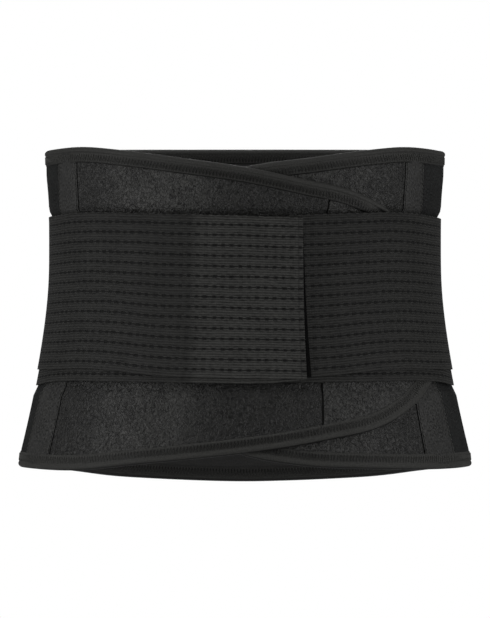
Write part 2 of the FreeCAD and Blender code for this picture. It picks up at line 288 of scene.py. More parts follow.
def cloth(name, start, end, low, high, faces, tip=False, extra=None, slants=(0.0, 0.0), lift=0.0,
          ribbed=False):
    """Sheet between two turns (degrees) and two edges; faces is (inner, outer) in mm, or gives it for a turn.

    extra(turn, z) adds to the outer face. slants lean the start and end edges, in degrees per metre of
    height. lift raises the front half over what lies below it. The ribs of ribbed cloth run along its edges,
    and its length is counted back from its end. The sheet notes its own cut size.
    """
    turn, z = cloth_grid(start, end, low, high, slants, tip)
    inner_mm, outer_mm = faces(turn) if callable(faces) else faces
    added = extra(turn, z) if extra else 0.0
    raised = np.where(np.sin(turn) < 0, lift, 0.0)
    outer = place(turn, z, outer_mm * MM + added, raised)
    inner = place(turn, z, inner_mm * MM, raised)
    along = path_lengths(outer[:, ROWS // 2])
    up = z
    if ribbed:
        up = np.linspace(0, 1, ROWS)[None] * STRAP_HEIGHT + 0 * z
        along = along - along[-1]
    piece = slab(name, outer, inner, np.stack([np.repeat(along[:, None], ROWS, axis=1), up], axis=-1))
    height = z[:, -1] - z[:, 0]
    piece["flat_width"] = float(along[-1] - along[0])
    piece["flat_height"] = float(height.max())
    piece["flat_area"] = float(np.trapz(height, along))
    return piece


def inset_line(line, distance):
    """An edge on the surface moved square to itself, to its right along the line for a positive distance."""
    turn, z = line[:, 0], line[:, 1]
    scale = arc_scale(turn, z)
    along = np.stack([np.gradient(turn) * scale, np.gradient(z)], axis=1)
    along /= np.linalg.norm(along, axis=1)[:, None]
    return np.stack([turn + along[:, 1] * distance / scale, z - along[:, 0] * distance], axis=1)


def arc_scale(turn, z):
    """Metres of cloth per radian of turn."""
    width = PROFILE(z)
    return np.sqrt((width * np.sin(turn)) ** 2 + (width * DEPTH_SHARE * np.cos(turn)) ** 2)


# ------------------------ materials

def new_material(name, colour, roughness=0.6, specular=0.4):
    material = bpy.data.materials.new(name)
    material.use_nodes = True
    shader = material.node_tree.nodes["Principled BSDF"]
    shader.inputs["Base Color"].default_value = (*colour, 1.0)
    shader.inputs["Roughness"].default_value = roughness
    shader.inputs["Specular IOR Level"].default_value = specular
    return material, shader


class Graph:
    """Short calls for the node graphs of the cloth materials."""

    def __init__(self, material):
        self.tree = material.node_tree

    def node(self, kind, **inputs):
        made = self.tree.nodes.new(kind)
        for key, value in inputs.items():
            socket = made.inputs[key.replace("_", " ")] if key.replace("_", " ") in made.inputs else None
            if socket is None:
                setattr(made, key, value)
            elif isinstance(value, bpy.types.NodeSocket):
                self.tree.links.new(value, socket)
            else:
                socket.default_value = value
        return made

    def math(self, operation, a, b=None, c=None):
        made = self.tree.nodes.new("ShaderNodeMath")
        made.operation = operation
        for socket, value in zip(made.inputs, (a, b, c)):
            if isinstance(value, bpy.types.NodeSocket):
                self.tree.links.new(value, socket)
            elif value is not None:
                socket.default_value = value
        return made.outputs[0]

    def times(self, a, b):
        return self.math("MULTIPLY", a, b)

    def plus(self, a, b):
        return self.math("ADD", a, b)

    def minus(self, a, b):
        return self.math("SUBTRACT", a, b)

    def darken(self, value, mask, share):
        """value less this share of itself where mask is 1."""
        return self.times(value, self.minus(1.0, self.times(mask, share)))

    def uv(self):
        """Cloth coordinates in metres: as a vector, along (u) and up (v)."""
        source = self.tree.nodes.new("ShaderNodeUVMap")
        source.uv_map = "cloth"
        parts = self.tree.nodes.new("ShaderNodeSeparateXYZ")
        self.tree.links.new(source.outputs[0], parts.inputs[0])
        return source.outputs[0], parts.outputs[0], parts.outputs[1]

    def noise(self, vector, size, stretch=(1.0, 1.0), detail=2.0, curl=0.0):
        """Noise whose grains are about size metres, longer where stretch is smaller."""
        scaled = self.node("ShaderNodeVectorMath")
        scaled.operation = "MULTIPLY"
        self.tree.links.new(vector, scaled.inputs[0])
        scaled.inputs[1].default_value = (stretch[0] / size, stretch[1] / size, 1.0)
        made = self.node("ShaderNodeTexNoise", Scale=1.0, Detail=detail, Distortion=curl)
        self.tree.links.new(scaled.outputs[0], made.inputs["Vector"])
        return made.outputs["Fac"]

    def rise(self, value, start, end):
        """0 before start, 1 after end, smooth between."""
        made = self.node("ShaderNodeMapRange", interpolation_type="SMOOTHSTEP", From_Min=start, From_Max=end,
                         Value=value)
        return made.outputs[0]

    def dashes(self, value, pitch, width):
        """1 within width of every multiple of pitch, soft at the ends."""
        away = self.math("PINGPONG", value, pitch / 2)
        inside = self.math("DIVIDE", self.minus(width, away), width * 0.5)
        return self.math("SMOOTH_MIN", 1.0, self.math("MAXIMUM", 0.0, inside), 0.1)

    def link(self, a, b):
        self.tree.links.new(a, b)


def tint(graph, shader, colour, factor):
    """Base colour times a factor that varies over the cloth."""
    mixed = graph.node("ShaderNodeVectorMath")
    mixed.operation = "SCALE"
    mixed.inputs[0].default_value = colour
    graph.link(factor, mixed.inputs["Scale"])
    graph.link(mixed.outputs[0], shader.inputs["Base Color"])


def bump(graph, shader, height, distance, strength=1.0):
    made = graph.node("ShaderNodeBump", Strength=strength, Distance=distance, Height=height)
    graph.link(made.outputs[0], shader.inputs["Normal"])


HOLE_ROW = 6.68 * MM           # pitch of the rows of small openings
RIB = HOLE_ROW / 4             # pitch of the fine ribs between them
HOLE_STEP = 5.8 * MM           # pitch of the openings along a row
THREAD_STEP = 1.7 * MM         # pitch of the threads across the ribs
HEM = 3.2 * MM                 # the elastic's end is turned under and sewn this far in
FIRST_ROW = 6.2 * MM           # the first row lies this far below the strap's top edge


def strap_ribs(g, vector, u, since_row):
    """Fine broken ribs along the strap, crossed by faint threads."""
    rib = g.times(g.math("COSINE", g.times(since_row, 2 * math.pi / RIB)), -1.0)
    broken = g.noise(vector, 2.6 * MM, (0.5, 2.0), 1.0)
    rib = g.times(rib, g.times(broken, 1.8))
    thread = g.times(g.math("SINE", g.times(u, 2 * math.pi / THREAD_STEP)), 0.1)
    return g.plus(rib, thread)


def strap_openings(g, vector, u, since_row):
    """Rows of short dark openings on thin dark lines, all a little uneven."""
    row_depth = g.plus(since_row, 40 * HOLE_ROW)
    row = g.dashes(row_depth, HOLE_ROW, 1.05 * MM)
    line = g.dashes(row_depth, HOLE_ROW, 0.5 * MM)
    shifted = g.plus(u, g.times(g.noise(vector, 8 * MM), 4 * MM))
    dash = g.dashes(shifted, HOLE_STEP, 2.0 * MM)
    uneven = g.noise(vector, 11 * MM, (1.0, 2.0), 1.0)
    hole = g.math("MAXIMUM", g.times(line, 0.7), g.times(row, dash))
    hole = g.times(hole, g.plus(0.6, g.times(0.8, uneven)))
    return g.math("MINIMUM", hole, 1.0)


def strap_material(name, colour, slack=0.0):
    """Ribbed elastic with rows of short openings; its last slack metres are not stretched, and lighter."""
    material, shader = new_material(name, colour, 0.65, 0.12)
    g = Graph(material)
    vector, u, v = g.uv()
    wander = g.times(g.minus(g.noise(vector, 26 * MM), 0.5), 1.2 * MM)
    depth = g.plus(g.minus(STRAP_HEIGHT, v), wander)
    since_row = g.minus(depth, FIRST_ROW)
    rib = strap_ribs(g, vector, u, since_row)
    hole = strap_openings(g, vector, u, since_row)
    grain = g.noise(vector, 1.5 * MM, (0.6, 1.0), 3.0)
    patchy = g.noise(vector, 18 * MM)
    factor = g.plus(0.25, g.times(grain, 1.6))
    factor = g.plus(factor, g.times(rib, 0.5))
    factor = g.plus(factor, g.times(g.minus(patchy, 0.5), 0.6))
    factor = g.darken(factor, hole, 0.98)
    if slack:
        loose = g.rise(u, -slack - 4 * MM, -slack + 4 * MM)
        factor = g.times(factor, g.plus(1.0, g.times(loose, 0.72)))
    hem_seam = g.dashes(g.plus(u, HEM + 1.0), 1.0, 0.6 * MM)
    factor = g.darken(factor, hem_seam, 0.35)
    tint(g, shader, colour, factor)
    height = g.plus(g.times(rib, 0.4), g.times(grain, 0.5))
    height = g.minus(height, g.times(hole, 2.0))
    bump(g, shader, height, 0.5 * MM, 0.8)
    return material


def pile_material(name, colour, grain_size, contrast, depth, roughness=0.6, specular=0.12, curl=0.0,
                  painted_shade_start=0.0, low=0.0, smooth_from=None):
    """Brushed or knitted cloth: colour and relief from a fine grain, curled for loop pile.

    painted_shade_start darkens the start of the cloth by that share, as painted shade, and low the part below
    the straps.
    From smooth_from metres along the cloth the pile lies flat: less grain, and darker, partly its own tone
    and partly painted shade.
    """
    material, shader = new_material(name, colour, roughness, specular)
    g = Graph(material)
    vector, u, v = g.uv()
    grain = g.noise(vector, grain_size, (1.0, 0.8), 1.0, curl)
    patchy = g.noise(vector, 16 * MM, (1.0, 1.0), 3.0)
    spread = g.times(g.minus(grain, 0.5), contrast)
    factor = g.plus(1.0, g.times(g.minus(patchy, 0.5), 0.25 * contrast))
    if smooth_from is not None:
        # Flat pile: less grain, and darker, partly its own tone and partly painted shade.
        flattened_and_shaded = g.rise(u, smooth_from, smooth_from + 40 * MM)
        spread = g.darken(spread, flattened_and_shaded, 0.55)
        factor = g.darken(factor, flattened_and_shaded, 0.52)
    # Painted shade on the start of the cloth, beside its casing.
    if painted_shade_start:
        out_of_painted_shade = g.rise(u, 18 * MM, 48 * MM)
        level = g.plus(1.0 - painted_shade_start, g.times(out_of_painted_shade, painted_shade_start))
        factor = g.times(factor, level)
        spread = g.times(spread, level)
    factor = g.math("MAXIMUM", g.plus(factor, spread), 0.1)
    if low:
        below = g.rise(g.times(v, -1.0), 30 * MM, 50 * MM)
        factor = g.darken(factor, below, low)
    tint(g, shader, colour, factor)
    bump(g, shader, grain, depth, 0.7)
    return material


BINDING_FOLD = 13 * MM         # across the tape from its inner edge to the fold
ZIGZAG_STEP = 1.15 * MM        # along the edge from one needle hole to the next


def binding_material(name, colour):
    """Folded tape: pulled down and darker where the zigzag stitches run, with painted shade towards the fold
    and where it faces down.
    """
    material, shader = new_material(name, colour, 0.6, 0.1)
    g = Graph(material)
    vector, u, v = g.uv()
    across = g.math("PINGPONG", v, BINDING_FOLD)
    start = g.rise(across, 1.2 * MM, 2.2 * MM)
    end = g.rise(across, 5.8 * MM, 7.0 * MM)
    channel = g.times(start, g.minus(1.0, end))
    grain = g.noise(vector, 1.0 * MM, (1.0, 0.7), 4.0)
    factor = g.plus(0.1, g.times(grain, 1.8))
    between = g.dashes(u, 2 * ZIGZAG_STEP, 0.75 * MM)
    dark = g.times(channel, g.plus(0.15, g.times(between, 0.45)))
    # Painted shade: the tape darkens towards its rounded fold.
    dark = g.math("MAXIMUM", dark, g.times(g.rise(across, 8.5 * MM, 12 * MM), 0.2))
    # Painted shade: the tape is darker where it faces down, as if in the shadow of its own roll.
    facing = g.node("ShaderNodeSeparateXYZ", Vector=g.node("ShaderNodeNewGeometry").outputs["Normal"])
    under = g.rise(g.times(facing.outputs[2], -1.0), 0.15, 0.75)
    dark = g.math("MAXIMUM", dark, g.times(under, 0.9))
    factor = g.times(factor, g.minus(1.0, dark))
    tint(g, shader, colour, factor)
    bump(g, shader, grain, 0.4 * MM, 0.7)
    return material


STRAP = {"left": strap_material("left_strap_elastic", (0.0104, 0.0104, 0.0098), slack=74 * MM),
         "right": strap_material("right_strap_elastic", (0.0094, 0.0094, 0.0088))}
LOOP_LOOK = {"grain_size": 1.6 * MM, "contrast": 4.4, "depth": 1.6 * MM, "roughness": 0.42, "specular": 0.14,
             "curl": 1.2, "low": 0.16}
LOOP = {"left_end": pile_material("left_end_loop_cloth", (0.0148, 0.0148, 0.0141), **LOOP_LOOK),
        "left": pile_material("left_loop_cloth", (0.0168, 0.0168, 0.0160), **LOOP_LOOK, painted_shade_start=0.48,
                              smooth_from=75 * MM),
        "right": pile_material("right_loop_cloth", (0.0143, 0.0143, 0.0136), **LOOP_LOOK, painted_shade_start=0.35)}
SIDE = pile_material("side_elastic", (0.0086, 0.0089, 0.0088), 1.0 * MM, 3.8, 0.25 * MM, 0.8, 0.05)
LINING = pile_material("lining", (0.021, 0.021, 0.0205), 0.9 * MM, 0.8, 0.2 * MM, 0.8, 0.08)
TAPE = pile_material("tape", (0.0152, 0.0152, 0.0147), 1.2 * MM, 3.4, 0.5 * MM, 0.55, 0.12)
BACK = pile_material("back_cloth", (0.0125, 0.0125, 0.012), 1.2 * MM, 2.4, 0.4 * MM)
BINDING = binding_material("binding", (0.0200, 0.0200, 0.0188))
THREAD = pile_material("thread", (0.040, 0.040, 0.038), 0.5 * MM, 0.5, 0.1 * MM)
HOOK = pile_material("hook_pad", (0.003, 0.003, 0.003), 0.8 * MM, 0.9, 0.8 * MM, 0.9, 0.02)
FOAM = pile_material("foam", (0.014, 0.014, 0.014), 1.2 * MM, 0.4, 0.2 * MM, 0.8, 0.1)
STEEL, steel_shader = new_material("stay_steel", (0.5, 0.5, 0.5), 0.35)
steel_shader.inputs["Metallic"].default_value = 1.0


def dress(piece, material):
    piece.data.materials.clear()
    piece.data.materials.append(material)
    return piece


# ------------------------ which body each piece goes with


def cross_hinge(piece):
    """Bakes the piece's placement into its mesh; the piece crosses a hinge line and is put with no body."""
    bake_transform(piece)


def drop_cut_size(piece):
    """Takes the noted cut size off the piece: width, height and area."""
    keys = ("flat_width", "flat_height", "flat_area")
    size = [piece[key] for key in keys]
    for key in keys:
        del piece[key]
    return size


def settle(piece, material, nodes, body, hand=None):
    """Gives a cloth piece its material, hides the CAD nodes it stands for, takes off its noted cut size and
    puts it with its body.

    A piece with a hand, which starts on the back and crosses that side's hinge line, is put with no body:
    only its placement is baked into its mesh.
    """
    dress(piece, material)
    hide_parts(*nodes)
    width, height, area = drop_cut_size(piece)
    if hand:
        cross_hinge(piece)
    else:
        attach(piece, body)


# ------------------------ panels

SEAM = {"left": 150.0, "right": 30.0}  # seams between the back cloth and the side elastic
CASING = {"left": (198.2, 212.0), "right": (-22.5, -36.0)}
CASING_LEAN = {"left": (33.0, 14.0), "right": (-26.0, 6.0)}  # degrees per metre of height
SEAM_GAP = 0.7                 # degrees left open where two cloths meet in a seam
PANEL_SEAM = (292.2, 28.0)     # turn and lean of the seam across the left panel
UNDER_BINDING = 2.0 * MM       # the cloth ends this far inside its binding
RIM_PITCH = 1.2 * MM
NOSE = 22 * MM                 # a rim is rounded off this far to both sides of its tip
NOSE_PASSES = 240
TIP_INSET = {"left": 1.2, "right": 1.0}  # degrees from a rim's tip to the end of its cloth
LAYER_SHIFT = (math.radians(0.5), math.radians(12.0))  # turns past the hinge where layers change depth
FOLD_HEIGHT = 0.5 * MM         # cloth turned under at a seam stands this much higher
FOLD_RADIUS = 130 * MM         # cloth per radian of turn at that seam, about
CASING_RIDGE = 0.75 * MM       # a stay's height under its casing
CASING_DIP = 0.25 * MM         # how far the casing's seams pull the cloth down


def furthest(rim, hand):
    """Index of the point of a panel's rim that is furthest round from its hinge."""
    return int(np.argmax(TURN[hand] * rim[:, 0]))


def round_tip(rim, hand):
    """Eases the tip of a panel's rim into a nose wide enough for its binding to turn in flat."""
    away = np.abs(np.arange(len(rim)) - furthest(rim, hand)) * RIM_PITCH
    share = 0.5 * (1 - ease(away, NOSE, 2 * NOSE))[1:-1, None]
    for _ in range(NOSE_PASSES):
        rim[1:-1] += share * ((rim[:-2] + rim[2:]) / 2 - rim[1:-1])
    return rim


def surface_edges(hand, outline):
    """Top and bottom edges of a front panel as (turn, height) lines that run from the hinge to the tip."""
    top, low = outline
    rim = to_surface(smooth(top + low[::-1][1:]), -1)
    if hand == "right":
        rim[:, 0] -= 2 * math.pi
    rim[[0, -1], 0] = HINGE[hand]
    rim = round_tip(even(rim, RIM_PITCH), hand)
    tip = furthest(rim, hand)
    return [rim[:tip + 1], rim[tip:][::-1]]


def back_edge(line):
    """An edge of the back as a (turn, height) line from the left hinge line to the right one."""
    surface = to_surface(smooth(line), 1)
    surface[[0, -1], 0] = HINGE["left"], HINGE["right"]
    return surface


def trimmed(edge, amount):
    """An edge moved up by amount."""
    return lambda turn: edge(turn) + amount


PANEL_EDGES = {"left": surface_edges("left", left_outline), "right": surface_edges("right", right_outline)}
BACK_EDGES = [back_edge(back_top_line), back_edge(back_low_line)]


def cloth_edges(hand):
    """Lower and upper edge of a panel's cloth, carried on round the side along the back's edges."""
    top, low = (edge_height(np.vstack(pair)) for pair in zip(BACK_EDGES, PANEL_EDGES[hand]))
    return trimmed(low, UNDER_BINDING), trimmed(top, -UNDER_BINDING)


def cloth_end(hand):
    """Turn in degrees at which a panel's cloth ends, just inside its tip."""
    top, _ = PANEL_EDGES[hand]
    return math.degrees(top[-1, 0]) - TURN[hand] * TIP_INSET[hand]


EDGE = {hand: cloth_edges(hand) for hand in TURN}
TIP_TURN = {hand: cloth_end(hand) for hand in TURN}


def layer_shift(hand, back_faces, front_faces):
    """Faces that pass smoothly from the back's depth to a front panel's across the hinge line."""
    def faces(turn):
        share = ease(TURN[hand] * (turn - HINGE[hand]), *LAYER_SHIFT)
        return tuple(b + (f - b) * share for b, f in zip(back_faces, front_faces))
    return faces


def casing_relief(hand):
    """A stay fills out the middle of its casing; both seams pull the cloth down."""
    def relief(turn, z):
        start, end = (np.radians(v + lean * z) for v, lean in zip(CASING[hand], CASING_LEAN[hand]))
        share = (turn - start) / (end - start)
        return CASING_RIDGE * np.sin(np.clip(share, 0, 1) * math.pi) ** 0.6 - CASING_DIP
    return relief


def seam_fold(seam, slant):
    """The cloth is turned under at its seam, so its last few millimetres stand a little higher."""
    def relief(turn, z):
        before = (math.radians(seam) + math.radians(slant) * z - turn) * FOLD_RADIUS
        return FOLD_HEIGHT * (1 - ease(before, 0.4 * MM, 2.2 * MM))
    return relief


def build_loop_cloth(hand, layer, start, lean):
    """Loop pile cloth from the casing to the tip; the left panel's is sewn together from two pieces."""
    low, high = EDGE[hand]
    gap = TURN[hand] * SEAM_GAP
    node = [f"{hand}_loop_cloth"]
    look = LOOP[hand]
    if hand == "left":
        seam, slant = PANEL_SEAM
        near = cloth("left_smooth_panel", start, seam, low, high, layer, extra=seam_fold(seam, slant),
                     slants=(lean, slant))
        settle(near, look, node, "left_panel")
        look = LOOP["left_end"]
        start, lean = seam + gap, slant
    loop = cloth(f"{hand}_loop_panel", start, TIP_TURN[hand], low, high, layer, tip=True,
                 slants=(lean, 0.0))
    settle(loop, look, node, f"{hand}_panel")


def build_front_panel(hand, cloth_layer, lining_layer):
    body = f"{hand}_panel"
    low, high = EDGE[hand]
    first, last = CASING[hand]
    lean_first, lean_last = CASING_LEAN[hand]
    gap = TURN[hand] * SEAM_GAP
    side = cloth(f"{hand}_side_strip", SEAM[hand], first, low, high,
                 layer_shift(hand, LAYERS["back_cloth"], LAYERS[cloth_layer]), slants=(0.0, lean_first))
    settle(side, SIDE, [f"{hand}_elastic", f"{hand}_side_cloth"], body, hand)
    casing = cloth(f"{hand}_casing_tape", first, last, low, high, LAYERS[cloth_layer],
                   extra=casing_relief(hand), slants=(lean_first, lean_last))
    settle(casing, TAPE, [f"{hand}_casing", f"{hand}_stay"], body, hand)
    build_loop_cloth(hand, LAYERS[cloth_layer], last + gap, lean_last)
    lining_end = TIP_TURN[hand]
    if hand == "left":
        lining_end = math.degrees(turn_at(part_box("left_tip_hook")[0][0], 0.0, -1))
        hook = cloth("left_tip_hook_pad", lining_end + gap, TIP_TURN[hand], low, high, LAYERS[lining_layer],
                     tip=True)
        settle(hook, HOOK, ["left_tip_hook"], body)
    lining = cloth(f"{hand}_panel_lining", SEAM[hand], lining_end, low, high,
                   layer_shift(hand, LAYERS["back_lining"], LAYERS[lining_layer]), tip=hand == "right")
    settle(lining, LINING, [f"{hand}_lining"], body, hand)


build_front_panel("left", "over_cloth", "over_lining")
build_front_panel("right", "under_cloth", "under_lining")

# ------------------------ back

LOW_BACK = trimmed(edge_height(BACK_EDGES[1]), UNDER_BINDING)
HIGH_BACK = trimmed(edge_height(BACK_EDGES[0]), -UNDER_BINDING)
FOAM_MARGIN = 3 * MM


def build_back():
    """Back cloth and lining, with a foam pad between them that stops short of the bindings."""
    seams = (SEAM["right"], SEAM["left"])
    cover = cloth("back_cover", *seams, LOW_BACK, HIGH_BACK, LAYERS["back_cloth"])
    settle(cover, BACK, ["back_cloth"], "back")
    lining = cloth("back_inner_lining", *seams, LOW_BACK, HIGH_BACK, LAYERS["back_lining"])
    settle(lining, LINING, ["back_lining"], "back")
    edges = (trimmed(LOW_BACK, FOAM_MARGIN), trimmed(HIGH_BACK, -FOAM_MARGIN))
    foam = cloth("back_foam_pad", 2.0, 178.0, *edges, LAYERS["foam"])
    drop_cut_size(foam)
    dress(foam, FOAM)
    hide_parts("back_foam")
    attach(foam, "back")


build_back()

# ------------------------ bindings

BINDING_WIDTH = 10.5           # mm
PROUD = 0.45                   # mm that the tape stands off the cloth,
CREST = 0.38                   # and mm more beside its fold
ROLL = 2.5                     # mm of the width taken up by the rounded fold
TUCK = 0.18                    # mm that the sewn inner edges are pulled down
BINDING_STEP = 2.4 * MM        # along the edge between two sections of the tape
UNDER_TAPE = 8.0 * MM          # tapes and their stitches end at the bindings' inner edges


def binding_section(half):
    """Section of a folded tape from one inner edge over the fold to the other: (across, out) in mm.

    half is half the folded tape's thickness, at every point along the edge.
    """
    outside = [(BINDING_WIDTH, half - TUCK)]
    outside += [(share * BINDING_WIDTH, half) for share in (0.86, 0.6, 0.42, 0.34)]
    outside += [(3.2, half + 0.3), (ROLL, half + CREST)]
    fold = []
    for angle in map(math.radians, (70, 45, 22, 0, -22, -45, -70)):
        fold.append((ROLL * (1 - math.cos(angle)), (half + CREST) * math.sin(angle)))
    inside = [(across, -out) for across, out in outside[::-1]]
    return outside + fold + inside


def binding_faces(around, along, inward):
    """Faces of a section of around points that is repeated along an edge, with both ends closed."""
    faces = []
    for i in range(around):
        for j in range(along - 1):
            a = i * along + j
            b = ((i + 1) % around) * along + j
            faces.append((a, a + 1, b + 1, b) if inward < 0 else (a, b, b + 1, a + 1))
    faces.append(tuple(i * along for i in range(around)))
    faces.append(tuple(i * along + along - 1 for i in range(around - 1, -1, -1)))
    return faces


def binding_uv(section, line):
    """Metres along the edge, and across the tape so that the fold is at BINDING_FOLD."""
    girth = path_lengths(np.array([(across, np.mean(out)) for across, out in section]))
    across = girth / girth[-1] * 2 * BINDING_FOLD
    along = edge_lengths(line)
    return np.array([[(u, v) for u in along] for v in across]).reshape(-1, 2)


def binding(name, line, faces, inward):
    """Tape folded over an edge, a line of (turn, height); faces is the cloth's (inner, outer) in mm."""
    inner_mm, outer_mm = faces(line[:, 0]) if callable(faces) else faces
    inner_mm, outer_mm = inner_mm + 0 * line[:, 0], outer_mm + 0 * line[:, 0]
    middle = (outer_mm + inner_mm) / 2
    section = binding_section((outer_mm - inner_mm) / 2 + PROUD)
    rings = []
    for across, out in section:
        moved = inset_line(line, inward * across * MM)
        rings.append(place(moved[:, 0], moved[:, 1], (middle + out) * MM))
    rings = np.array(rings)
    around, along = rings.shape[:2]
    tape = mesh_object(name, rings.reshape(-1, 3), binding_faces(around, along, inward),
                       binding_uv(section, line))
    return dress(tape, BINDING)


def tube(name, path, radius, sides=5):
    """Thread along a path of points."""
    along = np.gradient(path, axis=0)
    along /= np.linalg.norm(along, axis=1)[:, None]
    up = np.array([0.0, 0.0, 1.0])
    side = np.cross(along, up)
    side /= np.linalg.norm(side, axis=1)[:, None] + 1e-9
    other = np.cross(side, along)
    angles = np.arange(sides) * 2 * math.pi / sides
    rings = (path[:, None] + radius * (side[:, None] * np.cos(angles)[None, :, None]
                                       + other[:, None] * np.sin(angles)[None, :, None]))
    count = len(path)
    faces = []
    for i in range(count - 1):
        for k in range(sides):
            a, b = i * sides + k, i * sides + (k + 1) % sides
            faces.append((a, b, b + sides, a + sides))
    faces.append(tuple(range(sides - 1, -1, -1)))
    faces.append(tuple((count - 1) * sides + k for k in range(sides)))
    along_mm, around_mm = np.repeat(np.arange(count), sides), np.tile(np.arange(sides) * 0.3, count)
    uv = np.stack([along_mm, around_mm], axis=1) * MM
    return mesh_object(name, rings.reshape(-1, 3), faces, uv)


ZIGZAG_NEAR = 4.6 * MM         # needle holes of the zigzag, from the binding's edge
ZIGZAG_FAR = 9.2 * MM
ZIGZAG_LIFT = 0.42             # mm from the cloth to the middle of the thread
ZIGZAG_THREAD = 0.26 * MM      # the thread's radius
RUNNING_PITCH = 3.0 * MM
RUNNING_LIFT = 0.25            # mm
RUNNING_THREAD = 0.28 * MM
CASING_STITCH = 1.3 * MM       # from a casing's edge to its stitches


def zigzag(name, line, out_mm, inward):
    """Row of zigzag stitches that holds a binding down."""
    marks = even(line, ZIGZAG_STEP)
    near = inset_line(marks, inward * ZIGZAG_NEAR)
    far = inset_line(marks, inward * ZIGZAG_FAR)
    chosen = np.where((np.arange(len(marks)) % 2 == 0)[:, None], near, far)
    out_mm = out_mm(chosen[:, 0]) if callable(out_mm) else out_mm + 0 * chosen[:, 0]
    path = place(chosen[:, 0], chosen[:, 1], (out_mm + ZIGZAG_LIFT) * MM)
    return dress(tube(name, path, ZIGZAG_THREAD), THREAD)


def running_stitch(name, line, out_mm):
    """Row of straight stitches along a line of (turn, height): the thread shows, dips and shows again."""
    marks = even(line, RUNNING_PITCH / 6)
    wave = np.clip(1.6 * np.sin(np.arange(len(marks)) * math.pi / 3), -1.0, 1.0)
    path = place(marks[:, 0], marks[:, 1], (out_mm + RUNNING_LIFT * wave) * MM)
    return dress(tube(name, path, RUNNING_THREAD, 4), THREAD)


def stitch_casing(hand, cloth_mm):
    """Top-stitching just inside both edges of a front casing."""
    low, high = EDGE[hand]
    for side, turn, lean, inside in zip("ab", CASING[hand], CASING_LEAN[hand], (1, -1)):
        foot, head = low(math.radians(turn)) + UNDER_TAPE, high(math.radians(turn)) - UNDER_TAPE
        heights = np.linspace(foot, head, 30)
        turns = np.radians(turn + lean * heights)
        turns = turns + inside * TURN[hand] * CASING_STITCH / arc_scale(turns, heights)
        line = np.stack([turns, heights], axis=1)
        seam = running_stitch(f"{hand}_casing_seam_{side}", line, cloth_mm + 0.1)
        cross_hinge(seam)


def whole_depth(lining, outside):
    """Inner face of a lining and outer face of the cloth over it, in mm."""
    return LAYERS[lining][0], LAYERS[outside][1]


BACK_DEPTH = whole_depth("back_lining", "back_cloth")


def bind_panel(hand, lining, outside):
    """Binding round a front panel with its stitches, and the stitching of the panel's casing."""
    top, low = PANEL_EDGES[hand]
    loop = even(np.vstack([top, low[::-1][1:]]), BINDING_STEP)
    depth = whole_depth(lining, outside)
    layer = layer_shift(hand, BACK_DEPTH, depth)
    tape = binding(f"{hand}_panel_binding", loop, layer, TURN[hand])
    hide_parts(f"{hand}_binding")
    cross_hinge(tape)
    stitches = zigzag(f"{hand}_panel_stitches", loop, lambda turn: layer(turn)[1] + 0.2, TURN[hand])
    cross_hinge(stitches)
    stitch_casing(hand, depth[1])


def bind_back(name, line, inward):
    """Binding along one edge of the back, with its stitches on both faces."""
    path = even(line, BINDING_STEP)
    tape = binding(f"back_{name}_binding", path, BACK_DEPTH, inward)
    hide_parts(f"back_binding_{name}")
    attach(tape, "back")
    inner, outer = BACK_DEPTH
    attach(zigzag(f"back_{name}_stitches", path, outer + 0.2, inward), "back")
    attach(zigzag(f"back_{name}_inner_stitches", path, inner - 1.0, inward), "back")


bind_panel("left", "over_lining", "over_cloth")
bind_panel("right", "under_lining", "under_cloth")
bind_back("top", BACK_EDGES[0], -1)
bind_back("bottom", BACK_EDGES[1], 1)

# ------------------------ straps

TAB = box_mm("left_strap_outer")[1][0]  # where each strap ends, in mm from the middle
HIDDEN_TAB = -box_mm("right_strap_outer")[0][0]
SIDE_HIGH = {"left": 60.0, "right": 59.0}  # heights in mm of the outer layers' edges, at the side
SIDE_LOW = -44.1
MIDDLE_HIGH, MIDDLE_LOW = 58.6, -49.2  # and in front of the middle
INNER_DROP = 11.0              # mm that the inner layer lies lower at the side
REAR_SPREAD = 12.0             # mm that the layers spread apart towards the middle of the back
REAR_START = 93.0              # degrees of turn where the left strap is sewn on
INNER_SHORT = 0.6              # mm that the inner layer ends short of the outer one
HOOK_LENGTH = 22.0
HOOK_OVERHANG = 2.1            # mm that the hook pad looks out past the strap's end
HOOK_LEAN = 12.0               # degrees per metre of height
HOOK_FACES = (0.4, 0.95)
HOOK_ROOM = 0.65               # mm that the inner layer is thinner over the pad


def front_edges(hand, reach, inner):
    """Upper and lower edge of a strap layer from the side to its end: points in mm as seen from the front."""
    high = SIDE_HIGH[hand]
    if inner:
        top = [(-134.0, high - INNER_DROP), (-80.0, high - 7.0), (reach, MIDDLE_HIGH - 4.0)]
        low = [(-144.0, SIDE_LOW - INNER_DROP), (-121.0, SIDE_LOW - 7.0), (-60.0, MIDDLE_LOW - 2.0),
               (reach - 30.0, MIDDLE_LOW - 2.8), (reach, MIDDLE_LOW - 0.9)]
    else:
        top = [(-134.0, high), (-128.0, high + 1.4), (-105.0, 63.0), (-60.0, 61.7), (reach, MIDDLE_HIGH)]
        low = [(-143.0, SIDE_LOW), (-100.0, SIDE_LOW + 1.4), (-50.0, MIDDLE_LOW + 1.8), (reach, MIDDLE_LOW)]
    return top, low


def rear_edge(side_z, inner):
    """Edge of a strap layer from the middle of the back to the side."""
    shift = -INNER_DROP if inner else 0.0
    far = shift - REAR_SPREAD if inner else REAR_SPREAD
    points = [(-6.0, side_z + far), (-80.0, side_z + (shift + far) / 2), (-134.0, side_z + shift)]
    line = to_surface(smooth(points), 1)
    line[-1, 0] = HINGE["left"] - 0.02
    return line


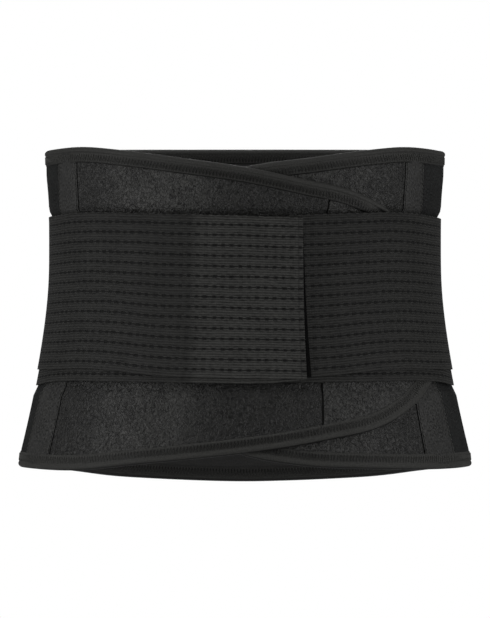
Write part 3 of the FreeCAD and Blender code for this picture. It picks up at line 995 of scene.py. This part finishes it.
def strap_edges(hand, reach, inner, lift):
    """Lower and upper edge of a strap layer; the right strap is laid out as a left one and mirrored."""
    top, low = front_edges(hand, reach, inner)
    edges = []
    for points, side_z in ((low, SIDE_LOW), (top, SIDE_HIGH[hand])):
        front = to_surface(smooth(points), -1, lift)
        front[0, 0] = HINGE["left"]
        line = np.vstack([rear_edge(side_z, inner), front])
        if hand == "right":
            line[:, 0] = math.pi - line[:, 0]
        edges.append(edge_height(line))
    return edges


def strap_turn(hand, x, lift):
    """Turn in degrees of the point x mm towards the strap's end."""
    turn = math.degrees(turn_at(x * MM, 0.0, -1, lift))
    return turn if hand == "left" else 180.0 - turn


def over_pad(hand, reach, lift):
    """Faces of the inner strap layer, which thins where the hook pad lies under it."""
    inner_face, outer_face = LAYERS["inner_strap"]
    pad_start = turn_at((reach - HOOK_LENGTH - 3.0) * MM, 0.0, -1, lift)

    def faces(turn):
        along = turn if hand == "left" else math.pi - turn
        return inner_face + HOOK_ROOM * ease(along, pad_start - 0.02, pad_start), outer_face + 0 * turn
    return faces


def build_strap_layer(hand, part, reach, lift):
    inner = part == "inner"
    end = reach - INNER_SHORT if inner else reach
    start_turn = REAR_START if hand == "left" else 180.0 - REAR_START
    faces = over_pad(hand, reach, lift) if inner else LAYERS["outer_strap"]
    piece = cloth(f"{hand}_{part}_strap", start_turn, strap_turn(hand, end, lift),
                  *strap_edges(hand, end, inner, lift), faces, lift=lift, ribbed=True)
    nodes = [f"{hand}_strap_{part}", f"{hand}_rear_{part}"]
    settle(piece, STRAP[hand], nodes, f"{hand}_strap", hand)


def build_hook_pad(hand, reach, lift):
    """Hook pad under the strap's end, slanting out past it at the bottom."""
    low, high = strap_edges(hand, reach, False, lift)
    ends = [strap_turn(hand, x, lift) for x in (reach - HOOK_LENGTH, reach + HOOK_OVERHANG)]
    hook = cloth(f"{hand}_tab_hook_pad", *ends, trimmed(low, 1.6 * MM), trimmed(high, -3 * MM), HOOK_FACES,
                 lift=lift, slants=(0.0, -TURN[hand] * HOOK_LEAN))
    settle(hook, HOOK, [f"{hand}_tab_hook"], f"{hand}_strap")


for hand, reach, lift in (("left", TAB, TOP_STRAP_LIFT * MM), ("right", HIDDEN_TAB, 0.0)):
    build_strap_layer(hand, "outer", reach, lift)
    build_strap_layer(hand, "inner", reach, lift)
    build_hook_pad(hand, reach, lift)

# ------------------------ back details

TAPE_WIDTH = 24 * MM
TAPE_FACES = (0.05, 0.6)
TAPE_DIP = 0.1                 # mm that a tape lies lower beside its stay's ridge
STAY_RIDGE = 0.8               # mm
RIDGE_END = 6 * MM             # a ridge fades over this length at both ends
STAY_SHARE = 0.5               # width of a stay over its tape's
STITCH_SHARE = 0.84            # distance between a tape's two rows of stitches over its width
PATCH_STITCH = 4 * MM          # from the patch's edge to its stitches


def level(height):
    """A level edge."""
    return lambda turn: height + 0 * turn


def back_turn(x):
    """Turn of the point of the back at x."""
    return math.acos(x / PROFILE(0.0))


def stay_ridge(middle, half, foot, head):
    """A stay shows as a low ridge down the middle of its tape."""
    def relief(turn, z):
        share = np.clip((turn - middle) / half, -1.0, 1.0)
        ends = ease(z, foot, foot + RIDGE_END) * (1 - ease(z, head - RIDGE_END, head))
        return (STAY_RIDGE * ends * np.cos(share * math.pi / 2) ** 0.7 - TAPE_DIP) * MM
    return relief


def build_back_tape(number):
    """Tape sewn over a stay."""
    low_box, high_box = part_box(f"back_tape_{number}")
    middle = back_turn((low_box[0] + high_box[0]) / 2)
    half = TAPE_WIDTH / 2 / arc_scale(np.array(middle), 0.0)
    foot, head = trimmed(LOW_BACK, UNDER_TAPE), trimmed(HIGH_BACK, -UNDER_TAPE)
    tape = cloth(f"back_casing_{number}", math.degrees(middle - half), math.degrees(middle + half),
                 foot, head, TAPE_FACES, extra=stay_ridge(middle, half, foot(middle), head(middle)))
    settle(tape, TAPE, [f"back_tape_{number}"], "back")
    stay_turns = [math.degrees(middle + half * share) for share in (-STAY_SHARE, STAY_SHARE)]
    stay = cloth(f"back_steel_{number}", *stay_turns, trimmed(foot, 2 * MM), trimmed(head, -2 * MM),
                 LAYERS["stay"])
    settle(stay, STEEL, [f"back_stay_{number}"], "back")
    for side, share in (("a", -STITCH_SHARE), ("b", STITCH_SHARE)):
        turn = middle + half * share
        line = np.array([(turn, foot(turn) + 1 * MM), (turn, head(turn) - 1 * MM)])
        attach(running_stitch(f"back_casing_{number}_seam_{side}", line, 0.75), "back")


def build_patch():
    """Cover over the straps' sewn-down ends, stitched all round."""
    low_box, high_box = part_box("back_patch")
    start, end = back_turn(high_box[0]), back_turn(low_box[0])
    foot, head = low_box[2], high_box[2]
    patch = cloth("back_patch_cover", math.degrees(start), math.degrees(end), level(foot), level(head),
                  LAYERS["patch"])
    settle(patch, BACK, ["back_patch"], "back")
    inset = PATCH_STITCH / arc_scale(np.array(math.pi / 2), 0.0)
    first_turn, last_turn = start + inset, end - inset
    low, high = foot + PATCH_STITCH, head - PATCH_STITCH
    corners = np.array([(first_turn, low), (last_turn, low), (last_turn, high), (first_turn, high),
                        (first_turn, low)])
    for number, (first, last) in enumerate(zip(corners, corners[1:])):
        seam = running_stitch(f"back_patch_seam_{number}", np.array([first, last]), LAYERS["patch"][1])
        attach(seam, "back")


for number in (1, 2, 3, 4):
    build_back_tape(number)
build_patch()

# ------------------------ floor, light, camera

DISTANCE = 3.0                 # from the camera to the belt's middle
VIEW_HEIGHT = 426.42 * MM      # what the picture shows from top to bottom, at that distance
EYE = -2.4 * MM                # the camera's height
FLOOR_GREY = 0.6
FLOOR_GLOW = 0.8
FILL = 0.19                    # strength of the even light from all round


def area_light(name, position, target, size, power):
    light = bpy.data.lights.new(name, "AREA")
    light.shape = "RECTANGLE"
    light.size, light.size_y = size
    light.energy = power
    lamp = bpy.data.objects.new(name, light)
    lamp.location = position
    lamp.visible_camera = False
    lamp.rotation_euler = (Vector(target) - Vector(position)).to_track_quat("-Z", "Y").to_euler()
    bpy.context.scene.collection.objects.link(lamp)


def floor_material():
    """Pale floor: it looks nearly white, but throws little light up under the belt."""
    material, shader = new_material("floor", (FLOOR_GREY, FLOOR_GREY, FLOOR_GREY), 0.9)
    g = Graph(material)
    seen = g.node("ShaderNodeLightPath").outputs["Is Camera Ray"]
    shader.inputs["Emission Color"].default_value = (1.0, 1.0, 1.0, 1.0)
    g.link(g.times(seen, FLOOR_GLOW), shader.inputs["Emission Strength"])
    return material


def build_stage():
    """Pale floor that ends out of the camera's sight, side softboxes, softer light from above and behind."""
    radius, height, corners = 5.2, -0.6, 96
    turns = [2 * math.pi * i / corners for i in range(corners)]
    rim = [(radius * math.cos(turn), radius * math.sin(turn), height) for turn in turns]
    floor = mesh_object("floor", rim, [tuple(range(len(rim)))], smooth_faces=False)
    floor.data.materials.append(floor_material())
    area_light("left_softbox", (-1.17, -0.7, 0.15), (0, 0, 0), (0.5, 1.1), 15.2)
    area_light("right_softbox", (1.17, -0.7, 0.15), (0, 0, 0), (0.5, 1.1), 13.4)
    area_light("back_softbox", (0, 1.5, 0.4), (0, 0, 0), (0.6, 1.1), 12.0)
    area_light("top_softbox", (0, 0, 3.0), (0, 0, 0), (4.0, 4.0), 95.0)


def build_world():
    """White behind the belt, and a softer even light from all round."""
    world = bpy.data.worlds.new("studio")
    world.use_nodes = True
    tree = world.node_tree
    seen = tree.nodes["Background"]
    seen.inputs[0].default_value = (1.0, 1.0, 1.0, 1.0)
    seen.inputs[1].default_value = 1.0
    fill = tree.nodes.new("ShaderNodeBackground")
    fill.inputs[0].default_value = (1.0, 1.0, 1.0, 1.0)
    fill.inputs[1].default_value = FILL
    path = tree.nodes.new("ShaderNodeLightPath")
    mix = tree.nodes.new("ShaderNodeMixShader")
    tree.links.new(path.outputs["Is Camera Ray"], mix.inputs[0])
    tree.links.new(fill.outputs[0], mix.inputs[1])
    tree.links.new(seen.outputs[0], mix.inputs[2])
    tree.links.new(mix.outputs[0], tree.nodes["World Output"].inputs[0])
    bpy.context.scene.world = world


def build_camera():
    data = bpy.data.cameras.new("camera")
    data.sensor_width = 36.0
    data.lens = data.sensor_width * DISTANCE / VIEW_HEIGHT
    data.clip_end = 50.0
    camera = bpy.data.objects.new("camera", data)
    camera.location = (0.0, -DISTANCE, EYE)
    camera.rotation_euler = (math.pi / 2, 0.0, 0.0)
    bpy.context.scene.collection.objects.link(camera)
    bpy.context.scene.camera = camera


build_stage()
build_world()
build_camera()
bpy.context.scene.view_settings.view_transform = "Standard"
